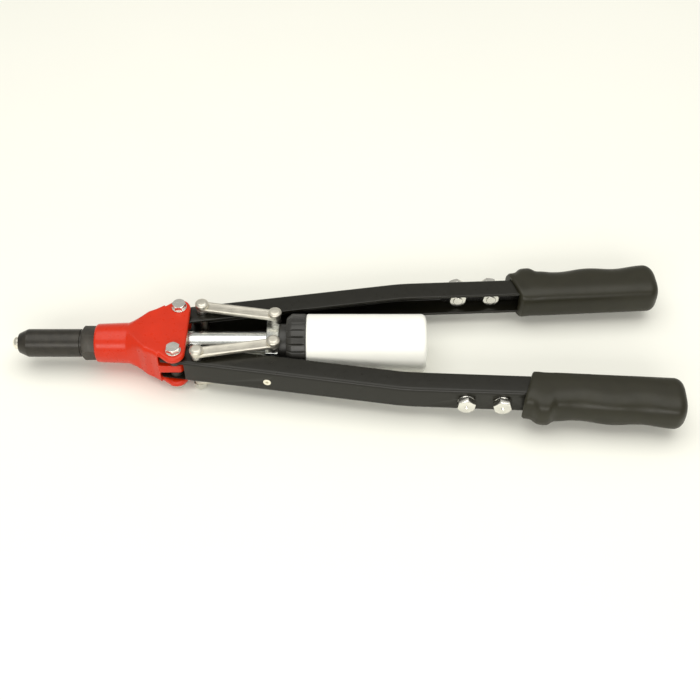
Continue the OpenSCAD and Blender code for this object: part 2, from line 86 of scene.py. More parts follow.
# Sizes shared with the CAD part
PLATE_TOP = node_box("body_casting")[1][2]
ARM_TOP = node_box("left_arm_channel")[1][2]
PLATE_IN = ARM_TOP + 0.2
LINK_TOP = node_box("left_link_upper")[1][2]
LINK_BOTTOM = node_box("left_link_upper")[0][2]
TUBE_R = node_box("draw_tube")[1][2]
BARREL_R = node_box("barrel")[1][2]
BOTTLE_R = node_box("catcher_bottle")[1][2]
CAP_R = node_box("catcher_cap")[1][2]
GRIP_HALF_H = node_box("left_grip")[1][2]
ARM_ANGLE = 8.8
GRIP_ANGLE = 2.6
BEND_AT = 183.8
ARM_DEPTH = 18
ARM_WALL = 2.5
FACE_Y = 6.25
WEB_X = 8.7
REAR_LEN = 200
LINK_ON_ARM = (18.2, -1.35)
LINK_HOLE_R = 4.45     # oversize, so that the open pivot of the linkage has room
LINK_W = 9.4
NOSE_R = ARM_DEPTH - FACE_Y
BUSH_R = 4.2
GRIP_BOLTS = (47.4, 75.2)
RIVET_X = 75.2
BUMPER_LEN = 17.8
M6_R = 3
M6_HOLE_R = 3.1
M6_AF = 10
M6_NUT = 5
M8_R = 4
M8_AF = 13
FIT = 0.02      # clearance on the radius of a joint that doesn't move
SLIP = 0.05     # running clearance
TONGUE_T = 4

# Nose and body
BORE_R = 2.05
NOSE_BODY_R = 6
NOSE_STEP_X = 17.5
BARREL_CONE_END = 12.3
SHANK_R = 10.4
LOCK_NUT_AF = 24
LOCK_NUT_TURN = 13
SNOUT_FRONT_R = 15.5
BODY_BORE_R = 9.8
BUSH_SEAT_R = 11.5
BUSH_SEAT_X = 124
HUB_R = 14
HUB_END = 140.5
RIB_Z = 4
RIB_Y = 28.4
PLATE_CORNER = (133, 23.7)
PLATE_CORNER_R = 9.2
SPACER_R = 4.9

# Mandrel catcher
COLLAR_X = 222.8
BOSS_R = 15.5
CAP_CAVITY_R = 20.4
CAP_CAVITY_X = 224


# ---- Outlines ----

def arc(centre, radius, start, end, steps=16):
    """Points on an arc, with its angles in degrees."""
    turns = [math.radians(start + (end - start) * k / steps) for k in range(steps + 1)]
    return [(centre[0] + radius * math.cos(t), centre[1] + radius * math.sin(t)) for t in turns]


def fillet(points, closed=True, step=12):
    """Rounds the corners of an outline. Each point is (x, y) or (x, y, radius)."""
    out = []
    count = len(points)
    for i, point in enumerate(points):
        here = Vector(point[:2])
        radius = point[2] if len(point) > 2 else 0
        if not radius or (not closed and i in (0, count - 1)):
            out.append(tuple(here))
            continue
        back = Vector(points[i - 1][:2]) - here
        ahead = Vector(points[(i + 1) % count][:2]) - here
        half = back.angle(ahead) / 2
        cut = min(radius / math.tan(half), back.length * 0.49, ahead.length * 0.49)
        centre = here + (back.normalized() + ahead.normalized()).normalized() * cut / math.cos(half)
        first = here + back.normalized() * cut - centre
        last = here + ahead.normalized() * cut - centre
        turn = math.atan2(first.x * last.y - first.y * last.x, first.dot(last))
        steps = max(1, math.ceil(abs(math.degrees(turn)) / step))
        for k in range(steps + 1):
            a = turn * k / steps
            c, s = math.cos(a), math.sin(a)
            out.append((centre.x + first.x * c - first.y * s, centre.y + first.x * s + first.y * c))
    return out


# ---- Meshes ----

def mesh_from(name, points, faces):
    mesh = bpy.data.meshes.new(name)
    mesh.from_pydata([tuple(p) for p in points], [], faces)
    tidy = bmesh.new()
    tidy.from_mesh(mesh)
    bmesh.ops.remove_doubles(tidy, verts=tidy.verts, dist=1e-4)
    bmesh.ops.recalc_face_normals(tidy, faces=tidy.faces)
    tidy.to_mesh(mesh)
    tidy.free()
    return mesh


def placed(mesh, *matrices):
    """The mesh moved by each matrix in turn."""
    for matrix in matrices:
        mesh.transform(matrix)
        if matrix.determinant() < 0:
            mesh.flip_normals()
    return mesh


def shift(x=0, y=0, z=0):
    return Matrix.Translation((x, y, z))


def turn(degrees, axis):
    return Matrix.Rotation(math.radians(degrees), 4, axis)


MIRROR = Matrix.Diagonal((1, -1, 1, 1))
UPRIGHT = turn(-90, "Y")
OUTWARD = turn(90, "Z")


def lathe(profile, segments=96, swell=None):
    """Turns a closed profile of (x, radius) about the X axis. swell(x, radius, angle) may change it."""
    points = []
    faces = []
    count = len(profile)
    for k in range(segments):
        a = 2 * math.pi * k / segments
        for x, r in profile:
            r = swell(x, r, a) if swell else r
            points.append((x, r * math.cos(a), r * math.sin(a)))
    for k in range(segments):
        for i in range(count):
            j = (i + 1) % count
            if profile[i][1] < 1e-6 and profile[j][1] < 1e-6:
                continue
            m = (k + 1) % segments
            faces.append((k * count + i, k * count + j, m * count + j, m * count + i))
    return mesh_from("lathe", points, faces)


def loft(rings):
    """Joins rings of equal count and closes both ends."""
    count = len(rings[0])
    points = [p for ring in rings for p in ring]
    faces = [tuple(range(count))[::-1], tuple(range((len(rings) - 1) * count, len(rings) * count))]
    for k in range(len(rings) - 1):
        for i in range(count):
            j = (i + 1) % count
            faces.append((k * count + i, k * count + j, (k + 1) * count + j, (k + 1) * count + i))
    return mesh_from("loft", points, faces)


def plate(outline, z0, z1, edge=0.4, holes=()):
    """A plate between two heights, its edges rounded. The outline and the holes are lists of (x, y)."""
    curve = bpy.data.curves.new("plate", "CURVE")
    curve.dimensions = "2D"
    curve.fill_mode = "BOTH"
    curve.extrude = (z1 - z0) / 2 - edge
    curve.bevel_depth = edge
    curve.bevel_resolution = 3
    curve.offset = -edge
    for ring in [outline, *holes]:
        spline = curve.splines.new("POLY")
        spline.points.add(len(ring) - 1)
        for point, (x, y) in zip(spline.points, ring):
            point.co = (x, y, 0, 1)
        spline.use_cyclic_u = True
    mesh = evaluated(bpy.data.objects.new("plate", curve))
    mesh.transform(shift(z=(z0 + z1) / 2))
    tidy = bmesh.new()
    tidy.from_mesh(mesh)
    bmesh.ops.remove_doubles(tidy, verts=tidy.verts, dist=1e-4)
    bmesh.ops.recalc_face_normals(tidy, faces=tidy.faces)
    tidy.to_mesh(mesh)
    tidy.free()
    return mesh


def evaluated(obj):
    """The final mesh of an object that isn't kept."""
    bpy.context.scene.collection.objects.link(obj)
    bpy.context.view_layer.update()
    mesh = bpy.data.meshes.new_from_object(obj.evaluated_get(bpy.context.evaluated_depsgraph_get()))
    bpy.data.objects.remove(obj)
    return mesh


def modified(mesh, *modifiers):
    """The mesh after some modifiers, each given as (type, settings)."""
    obj = bpy.data.objects.new("work", mesh)
    for kind, settings in modifiers:
        modifier = obj.modifiers.new(kind, kind)
        for key, value in settings.items():
            setattr(modifier, key, value)
    return evaluated(obj)


def combined(operation, mesh, *others):
    """The mesh with each other mesh added to it, cut from it or kept in common with it."""
    for other in others:
        tool = bpy.data.objects.new("tool", other)
        bpy.context.scene.collection.objects.link(tool)
        mesh = modified(mesh, ("BOOLEAN", {"operation": operation, "solver": "EXACT", "object": tool}))
        bpy.data.objects.remove(tool)
    return mesh


def bevelled(mesh, width, segments=2, angle=35):
    return modified(mesh, ("BEVEL", {"width": width, "segments": segments, "limit_method": "ANGLE",
                                     "angle_limit": math.radians(angle)}))


def together(*meshes):
    """Several meshes as one, not joined to each other."""
    all_parts = bmesh.new()
    for mesh in meshes:
        all_parts.from_mesh(mesh)
    mesh = bpy.data.meshes.new("parts")
    all_parts.to_mesh(mesh)
    all_parts.free()
    return mesh


def rod(x0, x1, radius, segments=64):
    return lathe([(x0, 0), (x0, radius), (x1, radius), (x1, 0)], segments)


def hexagon(af, length, chamfer=0.12, hole=0, dimple=0):
    """A hexagon across its flats, along X from 0 to length, with its outer corners turned off."""
    corner = af / math.sqrt(3)
    turns = [math.radians(60 * k) for k in range(6)]
    prism = loft([[(x, corner * math.cos(t), corner * math.sin(t)) for t in turns] for x in (0, length)])
    depth = corner * (1 + chamfer) - af / 2
    turned = lathe([(-0.1, 0), (-0.1, corner * 1.1), (length - depth * 0.5, corner * 1.06),
                    (length, af / 2 * 0.97), (length, 0)])
    mesh = bevelled(combined("INTERSECT", prism, turned), 0.18, 2, 25)
    if dimple:
        cone = lathe([(length + 1, 0), (length + 1, dimple + 1), (length - dimple, 0.01),
                      (length - dimple, 0)], 32)
        mesh = combined("DIFFERENCE", mesh, cone)
    if hole:
        mesh = combined("DIFFERENCE", mesh, rod(-1, length + 1, hole, 48))
    return mesh


def piece(name, mesh, body, nodes, material, sharp=40):
    """Puts a finished mesh on its body in place of CAD nodes."""
    mesh.transform(Matrix.Scale(MM, 4))
    mesh.name = name
    mesh.shade_smooth()
    mesh.set_sharp_from_angle(angle=math.radians(sharp))
    obj = bpy.data.objects.new(name, mesh)
    bpy.context.scene.collection.objects.link(obj)
    mesh.materials.clear()
    mesh.materials.append(material)
    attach(obj, body)
    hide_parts(*nodes)
    return obj


# ---- Materials ----

class Finish:
    """A procedural material built around one Principled shader, in object coordinates."""

    def __init__(self, name, colour, roughness, metallic=0.0, **sockets):
        self.material = bpy.data.materials.new(name)
        self.material.use_nodes = True
        self.tree = self.material.node_tree
        self.shader = self.tree.nodes["Principled BSDF"]
        self.colour = (*colour, 1)
        self.set("Base Color", self.colour)
        self.set("Roughness", roughness)
        self.set("Metallic", metallic)
        for socket, value in sockets.items():
            self.set(socket.replace("_", " "), value)
        self.where = self.node("ShaderNodeTexCoord").outputs["Object"]

    def node(self, kind, **inputs):
        made = self.tree.nodes.new(kind)
        for key, value in inputs.items():
            if hasattr(value, "links"):
                self.tree.links.new(value, made.inputs[key])
            else:
                made.inputs[key].default_value = value
        return made

    def set(self, socket, value):
        if hasattr(value, "links"):
            self.tree.links.new(value, self.shader.inputs[socket])
        else:
            self.shader.inputs[socket].default_value = value

    def stretched(self, x, y, z):
        return self.node("ShaderNodeMapping", Vector=self.where, Scale=(x, y, z)).outputs[0]

    def noise(self, scale, detail=3.0, where=None, rough=0.5):
        return self.node("ShaderNodeTexNoise", Vector=where or self.where, Scale=scale, Detail=detail,
                         Roughness=rough).outputs["Fac"]

    def ramp(self, value, low, high, span=(0.3, 0.7)):
        """value between span's ends as a number from low to high."""
        made = self.node("ShaderNodeMapRange", Value=value)
        ends = {"From Min": span[0], "From Max": span[1], "To Min": low, "To Max": high}
        for socket, number in ends.items():
            made.inputs[socket].default_value = number
        return made.outputs[0]

    def vary_colour(self, value, darker, lighter, span=(0.3, 0.7)):
        """The colour runs from darker to lighter times the base as value rises."""
        mix = self.tree.nodes.new("ShaderNodeMix")
        mix.data_type = "RGBA"
        self.tree.links.new(self.ramp(value, 0, 1, span), mix.inputs[0])
        mix.inputs[6].default_value = (*[c * darker for c in self.colour[:3]], 1)
        mix.inputs[7].default_value = (*[min(1, c * lighter) for c in self.colour[:3]], 1)
        self.set("Base Color", mix.outputs[2])

    def bump(self, height, strength, distance):
        made = self.node("ShaderNodeBump", Height=height, Strength=strength, Distance=distance)
        self.set("Normal", made.outputs[0])


def paint(name, colour, roughness, coat, peel=0.08):
    """Stove enamel: a gloss coat with a faint orange peel and uneven depth of colour."""
    finish = Finish(name, colour, roughness, Coat_Weight=coat, Coat_Roughness=0.12,
                    Specular_IOR_Level=0.32)
    finish.vary_colour(finish.noise(55, 4), 0.93, 1.06)
    finish.set("Roughness", finish.ramp(finish.noise(240, 5), roughness * 0.85, roughness * 1.2))
    finish.bump(finish.noise(420, 2), peel, 0.0004)
    return finish.material


def steel(name, colour, roughness, grain=(1, 1, 1), brushing=0.12, blotch=0.12):
    """Plated or ground steel. grain stretches the brush marks: a small number along them."""
    finish = Finish(name, colour, roughness, 1.0)
    marks = finish.noise(900, 4, finish.stretched(*grain), 0.65)
    finish.vary_colour(finish.noise(120, 5), 1 - blotch, 1 + blotch)
    finish.set("Roughness", finish.ramp(marks, roughness * 0.7, roughness * 1.4))
    finish.bump(marks, brushing, 0.0002)
    return finish.material


def blackened(name, colour, roughness):
    """Oil-blackened steel with fine turning marks round its axis."""
    finish = Finish(name, colour, roughness, 0.2, Specular_IOR_Level=0.45)
    finish.vary_colour(finish.noise(160, 5), 0.7, 1.35)
    marks = finish.noise(700, 3, finish.stretched(4, 0.2, 0.2), 0.6)
    finish.set("Roughness", finish.ramp(marks, roughness * 0.8, roughness * 1.25))
    finish.bump(marks, 0.1, 0.0002)
    return finish.material


def moulded(name, colour, roughness, grain=1600, depth=0.15, blotch=0.12, **sockets):
    """Moulded rubber or plastic with a fine skin."""
    finish = Finish(name, colour, roughness, **sockets)
    finish.vary_colour(finish.noise(70, 4), 1 - blotch, 1 + blotch)
    skin = finish.noise(grain, 2)
    finish.set("Roughness", finish.ramp(finish.noise(130, 4), roughness * 0.88, roughness * 1.12))
    finish.bump(skin, depth, 0.0002)
    return finish.material


MATERIAL = {
    "red_enamel": paint("red_enamel", (0.58, 0.022, 0.001), 0.30, 0.1),
    "bright_steel": steel("bright_steel", (0.82, 0.79, 0.70), 0.22, (3, 0.3, 0.3)),
    "blackened_steel": blackened("blackened_steel", (0.022, 0.019, 0.014), 0.34),
    # On the lock nut this dark colour is the nut's own blackening; on the pivot spacers it is painted shade
    # for the gap between the plates.
    "blackened_nut": blackened("blackened_nut", (0.035, 0.031, 0.024), 0.42),
    "bronze": steel("bronze", (0.62, 0.40, 0.18), 0.3, (3, 0.3, 0.3)),
    "zinc_bolt": steel("zinc_bolt", (0.78, 0.77, 0.72), 0.2),
    "bare_steel": steel("bare_steel", (0.52, 0.50, 0.46), 0.32),
    "zinc_tube": steel("zinc_tube", (0.70, 0.72, 0.70), 0.24, (0.06, 1, 1)),
    "link_zinc": steel("link_zinc", (0.68, 0.65, 0.57), 0.36, (0.08, 1, 1), 0.2),
    "hardened_steel": steel("hardened_steel", (0.32, 0.32, 0.33), 0.35, (3, 0.3, 0.3)),
    "spring_steel": steel("spring_steel", (0.5, 0.5, 0.5), 0.3),
    "cap_plastic": moulded("cap_plastic", (0.022, 0.021, 0.018), 0.38, 900, 0.1),
    "seal_rubber": moulded("seal_rubber", (0.02, 0.02, 0.02), 0.6),
    "bottle_plastic": moulded("bottle_plastic", (0.96, 0.96, 0.90), 0.40, 500, 0.03, 0.02),
    "black_paint": paint("black_paint", (0.009, 0.0083, 0.005), 0.32, 0.1, 0.05),
    "black_paint_inner": paint("black_paint_inner", (0.010, 0.0095, 0.008), 0.26, 0.3, 0.05),
    "grip_rubber": moulded("grip_rubber", (0.017, 0.0155, 0.007), 0.40, 2200, 0.12, Specular_IOR_Level=0.35),
    "rivet_cream": moulded("rivet_cream", (0.80, 0.76, 0.62), 0.3),
}


# ---- Camera, table and lights ----

CAMERA_ELEVATION = 49
CAMERA_DISTANCE = 0.855
CAMERA_LENS = 54.7
LOOK_AT = Vector((0.2717, -0.0076, 0))


def stand_camera():
    camera = bpy.data.cameras.new("camera")
    camera.lens = CAMERA_LENS
    camera.sensor_width = 36
    camera.clip_start = 0.01
    obj = bpy.data.objects.new("camera", camera)
    tilt = math.radians(CAMERA_ELEVATION)
    obj.location = LOOK_AT + CAMERA_DISTANCE * Vector((0, -math.cos(tilt), math.sin(tilt)))
    obj.rotation_euler = (math.radians(90 - CAMERA_ELEVATION), 0, 0)
    bpy.context.scene.collection.objects.link(obj)
    bpy.context.scene.camera = obj
    bpy.context.scene.view_settings.view_transform = "Standard"


def lay_table():
    half = 4.0
    points = [(x, y, FLOOR_Z * MM) for x, y in ((-half, -half), (half, -half), (half, half), (-half, half))]
    mesh = bpy.data.meshes.new("table")
    mesh.from_pydata(points, [], [(0, 1, 2, 3)])
    finish = Finish("table_paper", (0.88, 0.88, 0.82), 0.75)
    finish.vary_colour(finish.noise(3, 3), 0.99, 1.01)
    mesh.materials.append(finish.material)
    obj = bpy.data.objects.new("table", mesh)
    bpy.context.scene.collection.objects.link(obj)


def area_light(name, place, aim, size, power, colour=(1, 1, 1)):
    light = bpy.data.lights.new(name, "AREA")
    light.shape = "RECTANGLE"
    light.size, light.size_y = size
    light.energy = power
    light.color = colour
    obj = bpy.data.objects.new(name, light)
    obj.location = place
    obj.rotation_euler = (Vector(aim) - Vector(place)).to_track_quat("-Z", "Y").to_euler()
    bpy.context.scene.collection.objects.link(obj)


def light_scene():
    area_light("overhead_softbox", (0.3, 0.1, 1.6), (0.3, 0.1, 0), (2.4, 1.6), 22, (1.0, 0.99, 0.94))
    area_light("front_fill", (0.1, -1.6, 0.9), (0.25, 0, 0), (2.0, 0.6), 17, (1.0, 0.98, 0.93))
    world = bpy.data.worlds.new("studio")
    world.use_nodes = True
    back = world.node_tree.nodes["Background"]
    back.inputs["Color"].default_value = (1.0, 0.985, 0.93, 1)
    back.inputs["Strength"].default_value = 0.5
    bpy.context.scene.world = world


# ---- Nose ----

def make_nose():
    nose_x0, nose_x1 = x_range("nosepiece")
    front, back = x_range("barrel")
    dome = arc((5.56, 0), 6.2, 153, 127, 8)
    profile = [(nose_x0, BORE_R)] + dome + fillet(
        [(front, 5.0), (front, NOSE_BODY_R), (NOSE_STEP_X, NOSE_BODY_R, 0.3), (NOSE_STEP_X, 3.5, 0.2),
         (nose_x1, 3.5, 0.4), (nose_x1, BORE_R, 0.2)], False)
    piece("nosepiece_turned", lathe(profile), "root", ["nosepiece"],
          MATERIAL["bright_steel"])

    nut_x0, nut_x1 = x_range("lock_nut")
    r = BARREL_R
    thread_r = NOSE_BODY_R + FIT
    undercut_x = nut_x0 - 1.6
    chamber_x = NOSE_STEP_X + 0.5
    profile = fillet([(front, thread_r, 0.2), (front, 7.9, 0.9), (BARREL_CONE_END, r, 1.6),
                      (undercut_x, r, 0.3), (undercut_x, r - 1, 0.2), (nut_x0, r - 1), (nut_x0, SHANK_R),
                      (back, SHANK_R, 0.5), (back, 8.5), (chamber_x, 8.5), (chamber_x, thread_r)])
    piece("barrel_turned", lathe(profile, 128), "root", ["barrel"],
          MATERIAL["blackened_steel"])

    nut = placed(hexagon(LOCK_NUT_AF, nut_x1 - nut_x0), turn(180, "Z"), shift(nut_x1))
    nut = combined("DIFFERENCE", nut, rod(nut_x0 - 1, nut_x1 + 1, SHANK_R + FIT))
    piece("lock_nut_hex", placed(nut, turn(LOCK_NUT_TURN + 90, "X")), "root", ["lock_nut"],
          MATERIAL["blackened_nut"], 30)


# ---- Body ----

SNOUT_X = 99
WALL_END = 121
# Stations of the flare: x, half width of the flat top, radius of the edge beside it
FLARE = ((94, 0.01, 16.6), (98.5, 4, 13), (103.6, 11, 6.6), (109, 17.3, 4.2), (115, 20.5, 3.4),
         (WALL_END, 24.7, 3.3))


def flare_section(x, wide, radius):
    """The body's section: a box with rounded edges, a circle while it has no width."""
    count = 96
    high = max(0.01, min(PLATE_TOP, 15.9 + (x - 90) * 0.13) - radius)
    ring = []
    for k in range(count):
        a = 2 * math.pi * (k + 0.5) / count
        c, s = math.cos(a), math.sin(a)
        ring.append((x, math.copysign(wide, c) + radius * c, math.copysign(high, s) + radius * s))
    return ring


def clevis_outline():
    corner = arc(PLATE_CORNER, PLATE_CORNER_R, 118, 0, 14)
    half = [(113, 19), (119.5, 24.4)] + corner
    return half + [(x, -y) for x, y in reversed(half)]


def make_casting():
    front = x_range("body_casting")[0]
    snout = lathe(fillet([(front, 0), (front, SNOUT_FRONT_R, 1.8), (SNOUT_X, PLATE_TOP - 0.3),
                          (SNOUT_X + 1, 0)], False))
    rings = [flare_section(*station) for station in FLARE]
    root = WALL_END - 1
    rib = fillet([(root, 7), (138, 7), (138, HUB_R), (141.3, 19, 2), (141.3, 24.5, 3), (138, RIB_Y, 3),
                  (root, RIB_Y)])
    body = combined(
        "UNION", snout, loft(rings),
        plate(clevis_outline(), PLATE_IN, PLATE_TOP, 2.2),
        plate(clevis_outline(), -PLATE_TOP, -PLATE_IN, 2.2),
        plate(rib, -RIB_Z, RIB_Z, 0.8),
        plate([(x, -y) for x, y in reversed(rib)], -RIB_Z, RIB_Z, 0.8),
        lathe(fillet([(110, 0), (110, HUB_R), (HUB_END, HUB_R, 1), (HUB_END, 0)], False)))
    body = modified(body, ("REMESH", {"mode": "VOXEL", "voxel_size": 0.55}),
                    ("SMOOTH", {"factor": 0.5, "iterations": 7}))
    cutters = [rod(front - 1, 86.2, SHANK_R + SLIP), rod(85, BUSH_SEAT_X + 1, BODY_BORE_R),
                rod(BUSH_SEAT_X, 143, BUSH_SEAT_R)]
    for y in (PIVOT[1], -PIVOT[1]):
        cutters.append(placed(rod(-20, 20, M6_HOLE_R, 32), UPRIGHT, shift(PIVOT[0], y)))
        cutters.append(placed(rod(-6, 6, BUSH_R + FIT, 32), UPRIGHT, shift(PIVOT[0], y)))
    body = combined("DIFFERENCE", body, *cutters)
    piece("body_cast", body, "root", ["body_casting"], MATERIAL["red_enamel"], 50)

    x0, x1 = x_range("guide_bush")
    r = TUBE_R + SLIP
    bush = lathe(fillet([(x0, r, 0.3), (x0, 11.4, 0.3), (x1, 11.4, 0.5), (x1, r, 0.4)]))
    piece("guide_bush_turned", bush, "root", ["guide_bush"], MATERIAL["bronze"])


def bolt_stack(top, af, head, bottom, radius, tilt):
    """A bolt that stands upright, its head at the top."""
    shank = lathe(fillet([(bottom, 0), (bottom, radius, 0.5), (top, radius), (top, 0)], False), 48)
    cap = placed(hexagon(af, head), turn(tilt, "X"), UPRIGHT, shift(z=top))
    return together(placed(shank, UPRIGHT), cap)


def washer(z0, z1, outer, inner):
    return placed(lathe(fillet([(z0, inner), (z0, outer, 0.2), (z1, outer, 0.2), (z1, inner)]), 64), UPRIGHT)


def make_pivots():
    top = PLATE_TOP + 1
    low = node_box("pivot_bolts")[0][2]
    for side, sign in SIDES:
        at = shift(PIVOT[0], sign * PIVOT[1])
        bolt = bolt_stack(top, M6_AF, 4, low, M6_R, 30 if sign > 0 else 0)
        nut = placed(hexagon(M6_AF, M6_NUT, hole=M6_R), turn(180, "Z"), turn(25, "X"), UPRIGHT,
                     shift(z=-top))
        washers = together(washer(PLATE_TOP, top, 6, M6_HOLE_R), washer(-top, -PLATE_TOP, 6, M6_HOLE_R))
        bush = washer(-PLATE_IN + SLIP, PLATE_IN - SLIP, BUSH_R, 3.05)
        # The spacers take the dark blackened colour as painted shade: they sit in the shaded gap between the
        # plates and the arm's flanges.
        spacers = together(washer(RIB_Z, 8.7, SPACER_R, BUSH_R + FIT),
                           washer(-8.7, -RIB_Z, SPACER_R, BUSH_R + FIT))
        fixed = (("pivot_bolt_" + side, bolt, "zinc_bolt"),
                 ("pivot_nut_" + side, nut, "zinc_bolt"),
                 ("pivot_washers_" + side, washers, "zinc_bolt"),
                 ("pivot_bush_" + side, bush, "bare_steel"),
                 ("pivot_spacers_" + side, spacers, "blackened_nut"))
        nodes = ("pivot_bolts", "pivot_nuts", "pivot_washers", "pivot_bushes", "pivot_spacers")
        for (name, mesh, slot), node in zip(fixed, nodes):
            piece(name, placed(mesh, at), "root", [node], MATERIAL[slot], 30)


# ---- Arms ----

def on_arm(sign):
    """From the arm's own frame, with the pivot at its origin, to the tool's."""
    at = shift(PIVOT[0], PIVOT[1]) @ turn(ARM_ANGLE, "Z")
    return at if sign > 0 else MIRROR @ at


def on_rear(sign):
    """From the frame of the arm's rear length, with the bend at its origin, to the tool's."""
    return on_arm(sign) @ shift(BEND_AT, FACE_Y) @ turn(GRIP_ANGLE - ARM_ANGLE, "Z")


def channel_path():
    """Stations along the outer face of the web: (x, y, heading in degrees), bent on a large radius."""
    radius = 170
    turn_by = GRIP_ANGLE - ARM_ANGLE
    reach = radius * math.tan(math.radians(-turn_by) / 2)
    stations = [(x, FACE_Y, 0) for x in (-NOSE_R - 1, 30, 80, 130, BEND_AT - reach)]
    for k in range(1, 13):
        a = math.radians(-turn_by) * k / 12
        stations.append((BEND_AT - reach + radius * math.sin(a), FACE_Y - radius * (1 - math.cos(a)),
                         -math.degrees(a)))
    x, y, heading = stations[-1]
    c, s = math.cos(math.radians(heading)), math.sin(math.radians(heading))
    rest = REAR_LEN - reach
    stations += [(x + rest * f * c, y + rest * f * s, heading) for f in (0.25, 0.5, 0.75, 1)]
    return stations


def channel_section():
    """U section in (y, z): the web's outer face at y = 0, the flanges towards -y."""
    h, w, t = ARM_TOP, ARM_DEPTH, ARM_WALL
    return fillet([(0, -h, 3), (0, h, 3), (-w, h, 0.7), (-w, h - t, 0.7), (-t, h - t, 1), (-t, t - h, 1),
                   (-w, t - h, 0.7), (-w, -h, 0.7)], step=9)


def channel_mesh():
    section = channel_section()
    rings = []
    for x, y, heading in channel_path():
        c, s = math.cos(math.radians(heading)), math.sin(math.radians(heading))
        rings.append([(x - s * off, y + c * off, z) for off, z in section])
    mesh = loft(rings)
    far = 600
    meets_web = -180 - math.degrees(math.asin(FACE_Y / NOSE_R))
    nose = arc((0, 0), NOSE_R, -90, meets_web, 28)
    keep = [(far, -far), (0, -far)] + nose + [(nose[-1][0], FACE_Y + 20), (far, FACE_Y + 20)]
    mesh = combined("INTERSECT", mesh, plate(keep, -20, 20, 0.01))
    notch_top = ARM_TOP - ARM_WALL
    notch = plate([(-30, -40), (WEB_X, -40), (WEB_X, 30), (-30, 30)], -notch_top, notch_top, 0.01)
    holes = [placed(rod(-20, 20, BUSH_R + SLIP, 40), UPRIGHT),
             placed(rod(-20, 20, LINK_HOLE_R, 40), UPRIGHT, shift(*LINK_ON_ARM)),
             placed(rod(-5, 3, 2.6, 32), OUTWARD, shift(RIVET_X, FACE_Y))]
    for x in GRIP_BOLTS:
        holes.append(placed(rod(-5, 3, M8_R + 0.2, 32), OUTWARD, shift(BEND_AT, FACE_Y) @ turn(
            GRIP_ANGLE - ARM_ANGLE, "Z") @ shift(x)))
    mesh = combined("DIFFERENCE", mesh, notch, *holes)
    return bevelled(mesh, 0.3, 2, 40)


SWELL_X = 158
SWELL_PITCH = 48
GUARD_X = 105.5
GRIP_START = 90
GRIP_BASE = 121


def grip_swell(x):
    """1 where a finger swell is highest, -1 at the bottom of a scoop."""
    return math.cos(math.radians(360 * (x - SWELL_X) / SWELL_PITCH))


def grip_guard(x):
    return math.exp(-((x - GUARD_X) / 7) ** 4)


def grip_out(x):
    """How far the grip's outer side stands out from the web: finger swells and the guard."""
    return 11.0 + 0.037 * (x - GRIP_BASE) + 0.5 * grip_swell(x) + 4.6 * grip_guard(x)


def grip_in(x):
    return -24.9 + 0.012 * (x - GRIP_BASE)


def grip_ring(x, end):
    """One section of the grip: squarer on the inner side, rounder in the scoops of the outer side."""
    out_r, in_r = 9, 8
    past_out, past_in = max(0.0, x - end + out_r), max(0.0, x - end + in_r)
    inset_out = out_r - math.sqrt(max(0.0, out_r ** 2 - past_out ** 2))
    inset_in = in_r - math.sqrt(max(0.0, in_r ** 2 - past_in ** 2))
    lip = 1.3 * max(0.0, 1 - (x - GRIP_START) / 2.2) ** 2
    outer, inner = grip_out(x) - inset_out - lip, grip_in(x) + inset_in + lip
    half, mid = (outer - inner) / 2, (outer + inner) / 2
    tall = GRIP_HALF_H - 0.7 * inset_in - lip
    slant = 9 * max(0.0, 1 - (x - GRIP_START) / 34)
    fade = min(1.0, max(0.0, (x - 112) / 14))
    round_side = 3.0 - fade * (0.35 - 0.3 * grip_swell(x))
    square_side = 3.4
    count = 80
    ring = []
    for k in range(count):
        a = 2 * math.pi * (k + 0.5) / count
        c, s = math.cos(a), math.sin(a)
        power = 2 / (round_side if c > 0 else square_side)
        y = half * math.copysign(abs(c) ** power, c)
        z = tall * math.copysign(abs(s) ** power, s)
        ring.append((x + slant * (0.5 - y / half / 2), mid + y, z))
    return ring


def grip_mesh():
    bend_x = (on_arm(1) @ Vector((BEND_AT, FACE_Y, 0))).x
    end = (x_range("left_grip")[1] - bend_x) / math.cos(math.radians(GRIP_ANGLE)) - 0.3
    body = [GRIP_START + (end - 9 - GRIP_START) * k / 80 for k in range(81)]
    rear = [end - 9 + 8.96 * math.sin(math.radians(a)) for a in range(6, 91, 6)]
    mesh = loft([grip_ring(x, end) for x in body + rear])
    low, rear_end = -ARM_DEPTH - SLIP, REAR_LEN + 1
    pocket = plate([(70, low), (rear_end, low), (rear_end, SLIP), (70, SLIP)],
                   -ARM_TOP - SLIP, ARM_TOP + SLIP, 0.01)
    return bevelled(combined("DIFFERENCE", mesh, pocket), 0.6, 3, 50)


def tongue_mesh():
    x0 = 34
    bar = plate(fillet([(x0, -7.5, 3), (REAR_LEN, -7.5, 1), (REAR_LEN, 7.5, 1), (x0, 7.5, 3)]), -4, 0, 0.3,
                [arc((x, 0), M8_R + 0.2, 0, 345, 23) for x in GRIP_BOLTS])
    return placed(bar, turn(-90, "X"), shift(y=-ARM_WALL))


